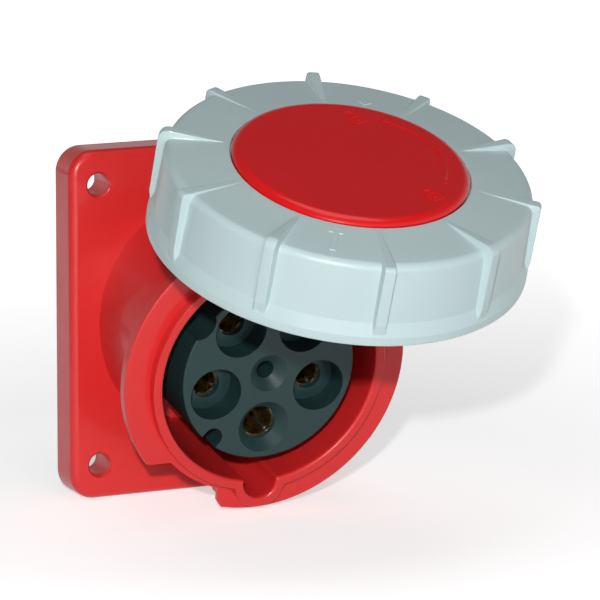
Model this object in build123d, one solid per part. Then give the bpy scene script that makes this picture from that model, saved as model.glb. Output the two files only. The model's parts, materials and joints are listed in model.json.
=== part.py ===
from build123d import *
from math import cos, radians, sin, sqrt
import os

# Angled panel socket with a hinged lid that a bayonet ring locks. Millimetres and degrees.
# The frame: X to the right as seen from the front, Z up, and the front faces -Y. The origin is the
# middle of the four panel screws, on the plate's back face, which lies on the panel.
# The socket frame, in which the round pieces are drawn: its Z runs out along the tilted socket axis
# from the plate's front face, its X is the same X, and its Y points up across the axis.

# Flange plate
plate_width = 96.0
plate_height = 112.0
plate_depth = 12.8
plate_corner = 8.0
plate_edge_round = 2.6
plate_face_wall = 4.0
plate_skirt_wall = 5.0
screw_spacing_x = 77.0
screw_spacing_z = 90.0
screw_hole = 7.2
screw_boss = 14.0
screw_hole_edge = 0.6
gasket_width = 2.2
gasket_depth = 2.0
gasket_inset = 1.4

# Socket axis and collar
tilt = 12.4
bore = 72.0
bore_depth = 48.0
rim_front = 47.3
neck_wall = 2.6
floor_thickness = 6.0
lip_wall = 3.4
lip_round = 1.3
rim_wall = 5.2
rim_groove_width = 0.7
rim_groove_depth = 0.9
rim_bead_drop = 0.5
keyway_width = 10.8
keyway_reach = 5.4
keyway_round = 3.2
keyway_corner = 1.2

# Bayonet flange round the collar
flange_diameter = 94.6
flange_thickness = 4.2
flange_set_back = 3.7
flange_round = 0.8
gap_edge_x = 12.75
gap_edge_y = 28.65
gap_chamfer = 2.3
arm_gap_edge = 10.5
stop_width = 3.0
stop_depth = 3.6
stop_angle = 3.5

# Hinge
hinge_depth = 25.5
hinge_height = 56.8
hinge_pin_diameter = 4.0
hinge_pin_chamfer = 0.4
ear_thickness = 4.2
ear_radius = 6.2
ear_foot = 17.0
ear_foot_back = 16.5
ear_root = 1.0
pin_overhang = 0.6

# Lid
lid_open = 81.2
lid_axis_length = 63.6
disc_diameter = 71.8
disc_edge = 1.5
disc_rise = 1.7
disc_flat = 61.0
lid_neck = 63.4
lid_neck_wall = 3.0
lid_plate_diameter = 99.0
lid_plate_thickness = 3.6
lid_plate_gap = 1.7
lid_gasket_width = 5.0
lid_gasket_depth = 2.6
lid_gasket_groove = 1.2
lid_boss = 7.6
lid_boss_circle = 48.0
lid_rib_depth = 1.0
lid_rib_width = 1.6
lid_rib_length = 22.0
lid_rib_start = 6.0
lid_hub = 14.0
lid_hub_bore = 10.0
lid_ribs = 8
arm_width = 17.0
arm_thickness = 5.0
arm_reach = 50.4
arm_bridge = 9.0
arm_foot_room = 2.5
arm_corner = 3.5
knuckle_radius = 5.8

# Locking ring
ring_height = 27.5
ring_shoulder = 110.4
ring_skirt = 112.0
ring_flare = 115.2
ring_flare_height = 2.9
ring_flare_slope = 4.1
ring_wall = 2.6
ring_top_wall = 3.0
ring_top_fall = 1.6
ring_edge_round = 2.5
ring_foot_round = 0.7
ring_sink = 0.2
ring_hub_wall = 2.8
ring_rib_count = 10
ring_rib_angle = 78.5
rib_width = 4.2
rib_inner_width = 2.6
rib_proud = 1.1
rib_foot_room = 1.5
rib_start_room = 1.0
tall_rib_rise = 1.2
tall_rib_corner = 3.0
short_rib_rise = -1.0
short_rib_corner = 1.3
lug_thickness = 3.0
lug_reach = 87.4
lug_angle = 57.0
lug_span = 23.0
lug_chamfer = 0.8
ring_turn = 105.0

# Contact carrier and its rear half
carrier_diameter = 57.6
carrier_set_back = 1.6
carrier_edge_round = 0.5
carrier_flange = 73.0
carrier_flange_thickness = 4.0
seal_inset = 0.5
seal_width = 1.8
seal_depth = 1.4
rear_diameter = 54.8
rear_length = 36.5
rear_edge_round = 1.0
fixing_screw_circle = 66.4
joining_screw_circle = 42.0
contact_circle = 36.5
pocket_diameter = 17.0
pocket_depth = 8.7
pocket_step = 12.0
pocket_step_depth = 0.9
pocket_floor = 1.5
notch_angle = 230.0
notch_width = 6.2
notch_tip = 23.4
notch_depth = 18.0
scallop_angle = 143.0
scallop_circle = 63.2
scallop_radius = 5.8
scallop_depth = 22.0

# Contact sleeves: the pins of the plug are 8 mm, 10 mm for earth and 5 mm for the pilot
phase_pin = 8.0
earth_pin = 10.0
pilot_pin = 5.0
pin_play = 0.1
sleeve_wall = 1.35
sleeve_room = 1.0
slot_width = 1.0
slot_length = 22.0
collar_rim = 2.0
collar_thickness = 2.5
spring_ring_section = 1.2
spring_ring_seat = 5.0
spring_ring_gap = 2.0
block_length = 32.0
block_wall = 2.4
wire_room = 22.0
clamp_screw = 5.0
clamp_screw_from_end = 9.0
clamp_screw_proud = 1.3
clamp_slot_width = 0.8
clamp_slot_depth = 1.0
earth_cone = 17.0
earth_cone_depth = 3.6
pilot_cone = 12.4
pilot_cone_depth = 3.0
hole_play = 0.7

# Small screws
screw_thread = 3.0
screw_head = 5.4
screw_head_height = 2.2
screw_slot_width = 0.9
screw_slot_depth = 0.8
screw_slot_share = 0.6
fixing_screw_grip = 4.5
joining_screw_grip = 10.0
lid_screw_grip = 6.0

# Clearances
press = 0.02
running = 0.08
seat = 0.1
slip = 0.2
gap = 0.3

# Levels along the socket axis
floor_front = rim_front - bore_depth
floor_back = floor_front - floor_thickness
flange_front = rim_front - flange_set_back
flange_back = flange_front - flange_thickness
carrier_face = rim_front - carrier_set_back
carrier_back = floor_back - carrier_flange_thickness
rear_end = carrier_back - rear_length
lid_plate_under = rim_front + lid_plate_gap
lid_plate_top = lid_plate_under + lid_plate_thickness
ring_bottom = lid_axis_length - ring_height
contact_angles = {
    "earth_sleeve": 270.0,
    "phase_sleeve_1": 198.0,
    "phase_sleeve_2": 126.0,
    "phase_sleeve_3": 54.0,
    "neutral_sleeve": 342.0,
}

socket_frame = Plane(
    origin=(0, -plate_depth, 0),
    x_dir=(1, 0, 0),
    z_dir=(0, -cos(radians(tilt)), -sin(radians(tilt))),
)
hinge_line = Axis((0, hinge_height, hinge_depth), (-1, 0, 0))


def on_socket(shape):
    """A piece drawn in the socket frame, set in its place on the plate."""
    return socket_frame.location * shape


def on_open_lid(shape):
    """A piece of the lid, drawn shut in the socket frame, swung open about the hinge pin."""
    return on_socket(shape.rotate(hinge_line, lid_open))


def rod(diameter, low, high):
    on_its_end = (Align.CENTER, Align.CENTER, Align.MIN)
    return Pos(0, 0, low) * Cylinder(diameter / 2, high - low, align=on_its_end)


def tube(outer, inner, low, high):
    return rod(outer, low, high) - rod(inner, low, high)


def cone(low_diameter, high_diameter, low, high):
    on_its_end = (Align.CENTER, Align.CENTER, Align.MIN)
    return Pos(0, 0, low) * Cone(low_diameter / 2, high_diameter / 2, high - low, align=on_its_end)


def slab(outline, low, high):
    return extrude(Pos(0, 0, low) * outline, amount=high - low)


def polar(diameter, angle):
    return Rot(0, 0, angle) * Pos(diameter / 2, 0, 0)


def collar_outline(wall):
    """The collar's outline at a wall's thickness from its inside: a circle with a keyway below."""
    foot = -(bore / 2 + keyway_reach + wall)
    key = Pos(0, foot / 2) * Rectangle(keyway_width + 2 * wall, -foot)
    key = fillet(key.vertices().group_by(Axis.Y)[0], keyway_round + wall)
    return Circle(bore / 2 + wall) + key


def bore_outline():
    outline = collar_outline(0.0)
    corners = outline.vertices().filter_by(lambda v: abs(abs(v.X) - keyway_width / 2) < 0.01)
    return fillet(corners.group_by(Axis.Y)[-1], keyway_corner)


def screw_places():
    return [(x * screw_spacing_x / 2, z * screw_spacing_z / 2) for x in (-1, 1) for z in (-1, 1)]


def flange_plate():
    """Hollow plate with a skirt to the panel, a sleeve for each screw and a groove for the gasket."""
    outline = RectangleRounded(plate_width, plate_height, plate_corner)
    body = extrude(Plane.XZ * outline, plate_depth)
    body = fillet(body.faces().sort_by(Axis.Y)[0].edges(), plate_edge_round)
    hollow = offset(outline, -plate_skirt_wall)
    body -= extrude(Plane.XZ * hollow, plate_depth - plate_face_wall)
    for x, z in screw_places():
        body += extrude(Plane.XZ * Pos(x, z) * Circle(screw_boss / 2), plate_depth - plate_face_wall)
    return body - gasket_frame(0.0)


def gasket_frame(play):
    """The rectangular loop that the gasket fills, or with play 0 its groove."""
    outer = offset(RectangleRounded(plate_width, plate_height, plate_corner), -gasket_inset - play)
    inner = offset(RectangleRounded(plate_width, plate_height, plate_corner), -gasket_inset - gasket_width + play)
    return extrude(Plane.XZ * (outer - inner), gasket_depth - play)


def screw_holes():
    """The four holes for the panel screws, each with a small countersink."""
    mouth = plate_depth - screw_hole_edge
    holes = []
    for x, z in screw_places():
        holes.append(extrude(Plane.XZ * Pos(x, z) * Circle(screw_hole / 2), plate_depth))
        edge = Plane.XZ.offset(mouth) * Pos(x, z) * Circle(screw_hole / 2)
        holes.append(extrude(edge, screw_hole_edge, taper=-45))
    return holes


def bayonet_flange():
    """The flange that the ring's lugs catch behind, with a straight-sided gap for each lug to pass.
    The upper gap runs on past twelve o'clock, where the lid's arm passes."""
    radius = flange_diameter / 2
    outline = Circle(radius)
    lower_gap = Pos(-gap_edge_x - radius / 2, -gap_edge_y - radius / 2) * Rectangle(radius, radius)
    upper_gap = Rectangle(radius + arm_gap_edge, radius)
    upper_gap = Pos((radius - arm_gap_edge) / 2, gap_edge_y + radius / 2) * upper_gap
    outline -= lower_gap
    outline -= upper_gap
    corner_y = -sqrt(radius**2 - gap_edge_x**2)
    corner = Polygon(
        (-gap_edge_x, corner_y + gap_chamfer),
        (-gap_edge_x + gap_chamfer, corner_y - 1),
        (-gap_edge_x, corner_y - 1),
        align=None,
    )
    outline -= corner
    body = slab(outline, flange_back, flange_front)
    rounded = body.edges().filter_by(GeomType.CIRCLE).filter_by(lambda e: abs(e.radius - radius) < 0.01)
    return fillet(rounded, flange_round)


def lug_stops():
    """Ribs behind the flange that the lugs come to rest against when the ring is locked."""
    reach = flange_diameter / 2 - flange_round - bore / 2
    rib = Pos(bore / 2 + reach / 2, 0, flange_back - stop_depth / 2) * Box(reach, stop_width, stop_depth)
    angle = lug_angle - ring_turn - lug_span / 2 - stop_angle
    return [Rot(0, 0, angle + side) * rib for side in (0, 180)]


def hinge_ears():
    """Two ears on the neck, with the pin's holes."""
    boss = Pos(hinge_height, hinge_depth) * Circle(ear_radius)
    foot = Pos(bore / 2, ear_foot_back + ear_foot / 2) * Rectangle(ear_root, ear_foot)
    side = make_hull(boss.edges() + foot.edges())
    side -= Pos(hinge_height, hinge_depth) * Circle(hinge_pin_diameter / 2 + press)
    inner_face = arm_width / 2 + gap
    return [extrude(Plane.YZ.offset(x) * side, ear_thickness) for x in (-inner_face - ear_thickness, inner_face)]


def housing():
    """One moulding: plate, tilted neck, floor, bayonet flange, rim with its keyway, and hinge ears."""
    inside = bore_outline()
    groove_floor = rim_front - rim_groove_depth
    bead = collar_outline(rim_wall) - collar_outline(lip_wall + rim_groove_width)
    body = slab(collar_outline(neck_wall), floor_back, flange_back) + bayonet_flange()
    body += slab(collar_outline(rim_wall), flange_back, groove_floor)
    body += slab(bead, groove_floor, rim_front - rim_bead_drop)
    body += slab(collar_outline(lip_wall), groove_floor, rim_front)
    body += lug_stops()
    body -= slab(inside, floor_front, rim_front)
    lip = body.faces().group_by(Axis.Z)[-1].sort_by(SortBy.AREA)[-1]
    body = fillet(lip.inner_wires()[0].edges(), lip_round)
    body += hinge_ears()
    body -= rod(carrier_diameter + 2 * slip, floor_back, floor_front)
    hole = rod(screw_thread + 2 * running, floor_back, floor_back + fixing_screw_grip + gap)
    body -= [place * hole for place in fixing_screw_places()]
    behind = rod(carrier_flange + 2 * gap, -2 * plate_depth, floor_back)
    plate = flange_plate() - on_socket(slab(inside, floor_back, rim_front) + behind)
    return plate + on_socket(body) + neck_root(behind) - screw_holes()


def neck_root(behind):
    """The neck's wall carried back behind its floor as far as the plate's face wall."""
    root = slab(collar_outline(neck_wall), -2 * plate_depth, floor_back) - behind
    face_wall_back = Plane.XZ.offset(plate_depth - plate_face_wall)
    return on_socket(root) & extrude(face_wall_back * Rectangle(plate_width, plate_height), plate_depth)


def fixing_screw_places():
    return [polar(fixing_screw_circle, angle) for angle in (90, 210, 330)]


def joining_screw_places():
    return [polar(joining_screw_circle, angle) for angle in (18, 162)]


def panel_gasket():
    return gasket_frame(seat)


def sleeve_radius(pin):
    """The outer radius of the sleeve that takes a pin."""
    return pin / 2 + pin_play / 2 + sleeve_wall


def block_radius(pin):
    return pin / 2 + block_wall


def sleeve_tip(node):
    """Where each sleeve ends, just behind the wall in front of it."""
    if node == "earth_sleeve":
        return carrier_face - earth_cone_depth - pocket_floor - gap
    if node == "pilot_sleeve":
        return carrier_face - pilot_cone_depth - pocket_depth
    return carrier_face - pocket_depth - pocket_floor - gap


def pin_of(node):
    if node == "earth_sleeve":
        return earth_pin
    if node == "pilot_sleeve":
        return pilot_pin
    return phase_pin


def contact_place(node):
    if node == "pilot_sleeve":
        return Pos(0, 0, 0)
    return polar(contact_circle, contact_angles[node])


def contact_nodes():
    return list(contact_angles) + ["pilot_sleeve"]


def contact_mouth(node):
    """The hole in front of a contact: a deep pocket before each live one, a cone before the others."""
    pin = pin_of(node)
    through = pin + hole_play
    tip = sleeve_tip(node) + gap
    if node == "earth_sleeve":
        mouth = cone(through, earth_cone, carrier_face - earth_cone_depth, carrier_face)
    elif node == "pilot_sleeve":
        mouth = cone(through, pilot_cone, carrier_face - pilot_cone_depth, carrier_face)
    else:
        ledge = carrier_face - pocket_depth
        mouth = rod(pocket_diameter, ledge + pocket_step_depth, carrier_face)
        mouth += tube(pocket_diameter, pocket_step, ledge, carrier_face)
    return mouth + rod(through, tip, carrier_face)


def contact_room(node):
    """The room in the front half for the sleeve and its collar."""
    outer = sleeve_radius(pin_of(node))
    hollow = rod(2 * (outer + sleeve_room), carrier_back, sleeve_tip(node) + gap)
    collar = 2 * (outer + collar_rim + seat)
    return hollow + rod(collar, carrier_back, carrier_back + collar_thickness)


def contact_carrier():
    """Front half of the insulating insert: the face of the socket, held by its flange behind the floor."""
    body = rod(carrier_diameter, carrier_back, carrier_face)
    rim = body.faces().sort_by(Axis.Z)[-1].edges()
    body = fillet(rim, carrier_edge_round)
    body += rod(carrier_flange, carrier_back, floor_back)
    seal_inner = carrier_diameter + 2 * (slip + seal_inset)
    body -= tube(seal_inner + 2 * seal_width, seal_inner, floor_back - seal_depth, floor_back)
    for node in contact_nodes():
        body -= contact_place(node) * (contact_mouth(node) + contact_room(node))
    notch = SlotCenterToCenter(carrier_diameter / 2, notch_width)
    notch = Pos(notch_tip + notch_width / 2 + carrier_diameter / 4, 0) * notch
    body -= Rot(0, 0, notch_angle) * slab(notch, carrier_face - notch_depth, carrier_face)
    scallop = rod(2 * scallop_radius, carrier_face - scallop_depth, carrier_face)
    body -= polar(scallop_circle, scallop_angle) * scallop
    for place in fixing_screw_places():
        body -= place * rod(screw_thread + 2 * slip, carrier_back, floor_back)
    for place in joining_screw_places():
        body -= place * rod(screw_thread + 2 * running, carrier_back, carrier_back + joining_screw_grip + gap)
    return on_socket(body)


def carrier_seal():
    """Flat rubber ring in the groove of the carrier's flange, pressed on the floor."""
    inner = carrier_diameter + 2 * (slip + seal_inset + seat)
    outer = inner + 2 * seal_width - 4 * seat
    return on_socket(tube(outer, inner, floor_back - seal_depth, floor_back))


def terminal_carrier():
    """Rear half of the insert, round the terminal blocks, with a way in for each wire and screw."""
    body = rod(rear_diameter, rear_end, carrier_back)
    body = fillet(body.faces().sort_by(Axis.Z)[0].edges(), rear_edge_round)
    for node in contact_nodes():
        radius = block_radius(pin_of(node))
        place = contact_place(node)
        body -= place * rod(2 * radius + 2 * slip, carrier_back - block_length - slip, carrier_back)
        body -= place * rod(2 * (radius - block_wall / 2), rear_end, carrier_back)
        body -= screw_way(node)
    for place in joining_screw_places():
        body -= place * rod(screw_thread + 2 * slip, rear_end, carrier_back)
        body -= place * rod(screw_head + 2 * slip, rear_end, rear_end + screw_head_height + slip)
    return on_socket(body)


def clamp_place(node):
    """On the contact's own axis, with X along its clamp screw: outwards, or up from the pilot."""
    turn = 90 if node == "pilot_sleeve" else 0
    level = carrier_back - block_length + clamp_screw_from_end
    return contact_place(node) * Rot(0, 0, turn) * Pos(0, 0, level)


def lying_rod(diameter, low, high):
    """A rod along X."""
    return Rot(0, 90, 0) * rod(diameter, low, high)


def screw_way(node):
    """Way from the carrier's side to the terminal's clamp screw."""
    length = rear_diameter / 2
    if node in contact_angles:
        length -= contact_circle / 2
    return clamp_place(node) * lying_rod(clamp_screw + 4 * slip, 0, length)


def contact_sleeve(node):
    """Turned brass contact: a slotted spring sleeve, a collar, and a terminal block bored for the wire."""
    pin = pin_of(node)
    outer = sleeve_radius(pin)
    tip = sleeve_tip(node)
    block = block_radius(pin)
    end = carrier_back - block_length
    body = rod(2 * outer, carrier_back, tip)
    body += rod(2 * (outer + collar_rim), carrier_back, carrier_back + collar_thickness)
    body += rod(2 * block, end, carrier_back)
    body -= rod(2 * (outer - sleeve_wall), carrier_back + 2 * collar_thickness, tip)
    ring_inner = 2 * outer - spring_ring_section
    ring_low = tip - spring_ring_seat
    body -= tube(2 * outer, ring_inner, ring_low, ring_low + spring_ring_section + seat)
    for turn in (45, 135):
        slot = Pos(0, 0, tip - slot_length / 2) * Box(3 * outer, slot_width, slot_length)
        body -= Rot(0, 0, turn) * slot
    body -= rod(2 * (block - block_wall), end, end + wire_room)
    body = contact_place(node) * body
    return on_socket(body - clamp_place(node) * lying_rod(clamp_screw + 2 * running, 0, block))


def spring_ring(node):
    """Open steel ring in the sleeve's groove, which closes the slotted sleeve on the pin."""
    outer = sleeve_radius(pin_of(node))
    low = sleeve_tip(node) - spring_ring_seat + seat / 2
    ring_inner = 2 * outer - spring_ring_section + 2 * running
    body = tube(2 * (outer + sleeve_room - gap), ring_inner, low, low + spring_ring_section)
    opening = Box(2 * outer, spring_ring_gap, 2 * spring_ring_section)
    body -= Pos(outer, 0, low + spring_ring_section / 2) * opening
    return on_socket(contact_place(node) * body)


def clamp_screws():
    """Grub screws that clamp the wires, one in each terminal block, slotted for a screwdriver."""
    screws = []
    for node in contact_nodes():
        block = block_radius(pin_of(node))
        head = block + clamp_screw_proud
        body = lying_rod(clamp_screw, block - block_wall, head)
        body -= Pos(head, 0, 0) * Box(2 * clamp_slot_depth, clamp_slot_width, clamp_screw)
        screws.append(on_socket(clamp_place(node) * body))
    return Compound(children=screws)


def small_screw(length):
    """Pan-head screw that lies along Z: its head's seat is at 0, the head below it and the thread above."""
    body = rod(screw_thread, 0, length) + rod(screw_head, -screw_head_height, 0)
    bar = Box(screw_head * screw_slot_share, screw_slot_width, 2 * screw_slot_depth)
    return body - Pos(0, 0, -screw_head_height) * (bar + Rot(0, 0, 90) * bar)


def carrier_fixing_screws():
    length = carrier_flange_thickness + fixing_screw_grip
    screw = Pos(0, 0, carrier_back) * small_screw(length)
    return Compound(children=[on_socket(place * screw) for place in fixing_screw_places()])


def carrier_joining_screws():
    seat_level = rear_end + screw_head_height
    length = carrier_back + joining_screw_grip - seat_level
    screw = Pos(0, 0, seat_level) * small_screw(length)
    return Compound(children=[on_socket(place * screw) for place in joining_screw_places()])


def hinge_pin_piece():
    length = arm_width + 2 * gap + 2 * ear_thickness + 2 * pin_overhang
    body = lying_rod(hinge_pin_diameter, -length / 2, length / 2)
    body = chamfer(body.edges().filter_by(GeomType.CIRCLE), hinge_pin_chamfer)
    return on_socket(Pos(0, hinge_height, hinge_depth) * body)


def lid_screw_places():
    return [polar(lid_boss_circle, angle) for angle in (45, 135, 225, 315)]


def lid_disc():
    """Red disc with a softly domed edge, on a round neck that the locking ring turns on."""
    radius = disc_diameter / 2
    flat = disc_flat / 2
    level = lid_axis_length
    under = level - disc_edge
    sag = ((radius - flat) ** 2 + disc_rise**2) / (2 * disc_rise)
    half = (radius - flat) / 2
    mid = (flat + half, level + disc_rise - (sag - sqrt(sag**2 - half**2)))
    profile = Polyline((0, level + disc_rise), (0, under), (radius, under), (radius, level))
    profile += ThreePointArc((radius, level), mid, (flat, level + disc_rise))
    profile += Line((flat, level + disc_rise), (0, level + disc_rise))
    body = revolve(Plane.XZ * make_face(profile), Axis.Z)
    body += tube(lid_neck, lid_neck - 2 * lid_neck_wall, lid_plate_top, under)
    for place in lid_screw_places():
        body += place * tube(lid_boss, screw_thread + 2 * running, lid_plate_top, under)
    return on_open_lid(body)


def lid_arm():
    """The hinge arm: from the lid plate's edge back past the collar to a knuckle on the pin."""
    inner = arm_reach - arm_thickness
    foot = hinge_depth + knuckle_radius + arm_foot_room
    bar = Rectangle(arm_thickness, lid_plate_top - foot)
    bar = Pos((inner + arm_reach) / 2, (foot + lid_plate_top) / 2) * bar
    bridge_start = inner - arm_bridge
    bridge = Pos((bridge_start + arm_reach) / 2, (lid_plate_under + lid_plate_top) / 2)
    bridge = bridge * Rectangle(arm_reach - bridge_start, lid_plate_thickness)
    knuckle = Pos(hinge_height, hinge_depth) * Circle(knuckle_radius)
    bar_end = Pos((inner + arm_reach) / 2, foot + ear_root / 2) * Rectangle(arm_thickness, ear_root)
    side = bar + bridge + make_hull(knuckle.edges() + bar_end.edges())
    outer_corner = side.vertices().group_by(Axis.Y)[-1].sort_by(Axis.X)[-1]
    side = fillet(outer_corner, arm_corner)
    side -= Pos(hinge_height, hinge_depth) * Circle(hinge_pin_diameter / 2 + running)
    return extrude(Plane.YZ.offset(-arm_width / 2) * side, arm_width)


def lid_plate():
    """Red inner plate: closes the collar, holds the gasket, and carries the hinge arm."""
    body = rod(lid_plate_diameter, lid_plate_under, lid_plate_top) + lid_arm()
    body -= lid_gasket_loop(lid_plate_under, lid_plate_under + lid_gasket_groove, 0.0)
    for turn in range(lid_ribs):
        place = Pos(lid_rib_length / 2 + lid_rib_start, 0, lid_plate_under - lid_rib_depth / 2)
        rib = place * Box(lid_rib_length, lid_rib_width, lid_rib_depth)
        body += Rot(0, 0, (turn + 0.5) * 360 / lid_ribs) * rib
    body += tube(lid_hub, lid_hub_bore, lid_plate_under - lid_rib_depth, lid_plate_under)
    hole = rod(screw_thread + 2 * slip, lid_plate_under, lid_plate_top)
    hole += rod(screw_head + 2 * slip, lid_plate_under, lid_plate_under + screw_head_height)
    body -= [place * hole for place in lid_screw_places()]
    return on_open_lid(body)


def lid_gasket_loop(low, high, play):
    """The band that lies over the rim's lip, round the keyway as the rim goes."""
    middle = lip_wall / 2
    outer = collar_outline(middle + lid_gasket_width / 2 - play)
    inner = collar_outline(middle - lid_gasket_width / 2 + play)
    return slab(outer - inner, low, high)


def lid_gasket():
    low = lid_plate_under + lid_gasket_groove - lid_gasket_depth
    return on_open_lid(lid_gasket_loop(low, lid_plate_under + lid_gasket_groove, seat))


def lid_screws():
    seat_level = lid_plate_under + screw_head_height
    length = lid_plate_top - seat_level + lid_screw_grip
    screw = Pos(0, 0, seat_level) * small_screw(length)
    return Compound(children=[on_open_lid(place * screw) for place in lid_screw_places()])


def ring_section():
    """Half section of the locking ring: hub, sloping top, rounded shoulder, wall and flared foot."""
    top = lid_axis_length - ring_sink
    shoulder = top - ring_top_fall
    bottom = ring_bottom
    flare_low = bottom + ring_flare_height
    flare_high = flare_low + ring_flare_slope
    hub_inner = lid_neck / 2 + running
    hub_outer = hub_inner + ring_hub_wall
    recess = disc_diameter / 2 + gap
    recess_floor = lid_axis_length - disc_edge - slip
    outer = ring_shoulder / 2
    skirt = ring_skirt / 2
    profile = Polyline(
        (hub_inner, lid_plate_top + gap),
        (hub_inner, recess_floor),
        (recess, recess_floor),
        (recess, top),
        (outer, shoulder),
        (skirt, flare_high),
        (ring_flare / 2, flare_low),
        (ring_flare / 2, bottom),
        (skirt - ring_wall, bottom),
        (outer - ring_wall, shoulder - ring_top_wall),
        (hub_outer, recess_floor - ring_top_wall),
        (hub_outer, lid_plate_top + gap),
        close=True,
    )
    section = make_face(profile)
    rounded = section.vertices().filter_by(lambda v: abs(v.X - outer) < 0.01)
    section = fillet(rounded, ring_edge_round)
    foot = section.vertices().filter_by(lambda v: v.X > skirt and v.Y < flare_low + 0.01)
    return fillet(foot, ring_foot_round)


def ring_rib(rise, corner):
    """One grip rib: it rises beside the disc, turns over the shoulder and runs down the wall."""
    top = lid_axis_length - ring_sink
    start = disc_diameter / 2 + gap + rib_start_room
    outer = ring_shoulder / 2 + rib_proud
    foot_outer = ring_skirt / 2 + rib_proud
    foot = ring_bottom + ring_flare_height + rib_foot_room
    inner = ring_shoulder / 2 - ring_wall / 2
    under = top - ring_top_fall - ring_top_wall / 2
    profile = make_face(
        Polyline(
            (start, top - 0.1),
            (outer, lid_axis_length + rise),
            (foot_outer, foot),
            (inner, foot),
            (inner, under),
            (start, under),
            close=True,
        )
    )
    crest = profile.vertices().filter_by(lambda v: abs(v.X - outer) < 0.01 and v.Y > top - 3)
    profile = fillet(crest, corner)
    body = extrude(Plane.XZ * profile, rib_width / 2, both=True)
    plan = Polygon(
        (start - 1, -rib_inner_width / 2),
        (outer - 2, -rib_width / 2),
        (outer + 5, -rib_width / 2),
        (outer + 5, rib_width / 2),
        (outer - 2, rib_width / 2),
        (start - 1, rib_inner_width / 2),
        align=None,
    )
    return body & slab(plan, ring_bottom, lid_axis_length + 5)


def ring_lug():
    """Bayonet lug at the ring's foot, which turns in behind the flange; its ends lead in."""
    inner, outer = lug_reach / 2, ring_skirt / 2 - ring_wall / 2
    sector = Polygon(
        (0, 0),
        (2 * outer * cos(radians(lug_span / 2)), 2 * outer * sin(radians(lug_span / 2))),
        (2 * outer * cos(radians(lug_span / 2)), -2 * outer * sin(radians(lug_span / 2))),
        align=None,
    )
    outline = (Circle(outer) - Circle(inner)) & sector
    body = slab(outline, ring_bottom, ring_bottom + lug_thickness)
    leading = body.edges().group_by(Axis.Z)[-1].filter_by(GeomType.LINE)
    return chamfer(leading, lug_chamfer)


def locking_ring():
    """Grey bayonet ring: turned section, alternate tall and short grip ribs, and two inner lugs."""
    body = revolve(Plane.XZ * ring_section(), Axis.Z)
    tall = ring_rib(tall_rib_rise, tall_rib_corner)
    short = ring_rib(short_rib_rise, short_rib_corner)
    for count in range(ring_rib_count):
        rib = tall if count % 2 == 0 else short
        body += Rot(0, 0, ring_rib_angle - count * 360 / ring_rib_count) * rib
    for side in (0, 180):
        body += Rot(0, 0, lug_angle + side) * ring_lug()
    return on_open_lid(body)


def pieces():
    made = {
        "housing": housing(),
        "panel_gasket": panel_gasket(),
        "contact_carrier": contact_carrier(),
        "carrier_seal": carrier_seal(),
        "terminal_carrier": terminal_carrier(),
    }
    for node in contact_nodes():
        made[node] = contact_sleeve(node)
        made[node.replace("sleeve", "spring_ring")] = spring_ring(node)
    made["clamp_screws"] = clamp_screws()
    made["carrier_fixing_screws"] = carrier_fixing_screws()
    made["carrier_joining_screws"] = carrier_joining_screws()
    made["hinge_pin"] = hinge_pin_piece()
    made["lid_plate"] = lid_plate()
    made["lid_disc"] = lid_disc()
    made["lid_gasket"] = lid_gasket()
    made["lid_screws"] = lid_screws()
    made["locking_ring"] = locking_ring()
    return made


os.makedirs("parts", exist_ok=True)
for name, shape in pieces().items():
    export_step(shape, f"parts/{name}.step")
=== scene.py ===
import json
from math import asin, atan2, cos, degrees, hypot, pi, radians, sin, sqrt, tan

import bmesh
import bpy
from mathutils import Matrix, Vector


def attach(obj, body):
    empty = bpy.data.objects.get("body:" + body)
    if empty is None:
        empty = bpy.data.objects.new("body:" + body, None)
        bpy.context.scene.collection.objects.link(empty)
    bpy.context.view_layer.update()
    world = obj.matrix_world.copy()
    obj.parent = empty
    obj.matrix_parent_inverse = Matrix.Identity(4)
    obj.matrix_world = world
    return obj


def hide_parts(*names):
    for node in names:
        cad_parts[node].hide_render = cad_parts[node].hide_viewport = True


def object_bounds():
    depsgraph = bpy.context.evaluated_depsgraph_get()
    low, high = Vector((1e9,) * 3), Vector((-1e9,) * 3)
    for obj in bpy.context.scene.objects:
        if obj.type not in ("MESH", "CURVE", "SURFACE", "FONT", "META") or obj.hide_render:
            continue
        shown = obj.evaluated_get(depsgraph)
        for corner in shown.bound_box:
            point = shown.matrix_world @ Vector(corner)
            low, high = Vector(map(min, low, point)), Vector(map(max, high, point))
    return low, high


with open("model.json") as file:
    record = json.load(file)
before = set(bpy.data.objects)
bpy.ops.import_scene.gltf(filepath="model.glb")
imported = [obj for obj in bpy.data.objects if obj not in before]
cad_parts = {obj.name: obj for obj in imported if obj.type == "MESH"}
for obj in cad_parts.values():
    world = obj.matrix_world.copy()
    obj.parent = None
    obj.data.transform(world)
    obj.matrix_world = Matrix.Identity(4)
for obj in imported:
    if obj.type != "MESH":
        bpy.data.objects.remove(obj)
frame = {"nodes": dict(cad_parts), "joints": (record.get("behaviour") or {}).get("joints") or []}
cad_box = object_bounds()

# The housing: flange plate, tilted neck, bayonet flange, hinge ears and a collar with a plain lip
# and a keyway, moulded in one piece of red polyamide from a polished tool. The flange is thin at
# its end by the keyway, where no lug runs. It has a satin gloss and a faint orange peel.
MM = 0.001
HOUSING_RED = (0.66, 0.020, 0.020)
SATIN_GLOSS = 0.37
PLASTIC_IOR = 1.45
SKIN_ROUGHNESS = 0.08
FLOW_MARKS = 38.0
SHEEN_PATCHES = 120.0
SHEEN_SPREAD = 0.15
PEEL_CELLS = 900.0
PEEL_DEPTH = 0.04 * MM
TOOL_GRAIN = 5200.0
GRAIN_DEPTH = 0.01 * MM
GRAIN_SHARE = 0.6


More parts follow.
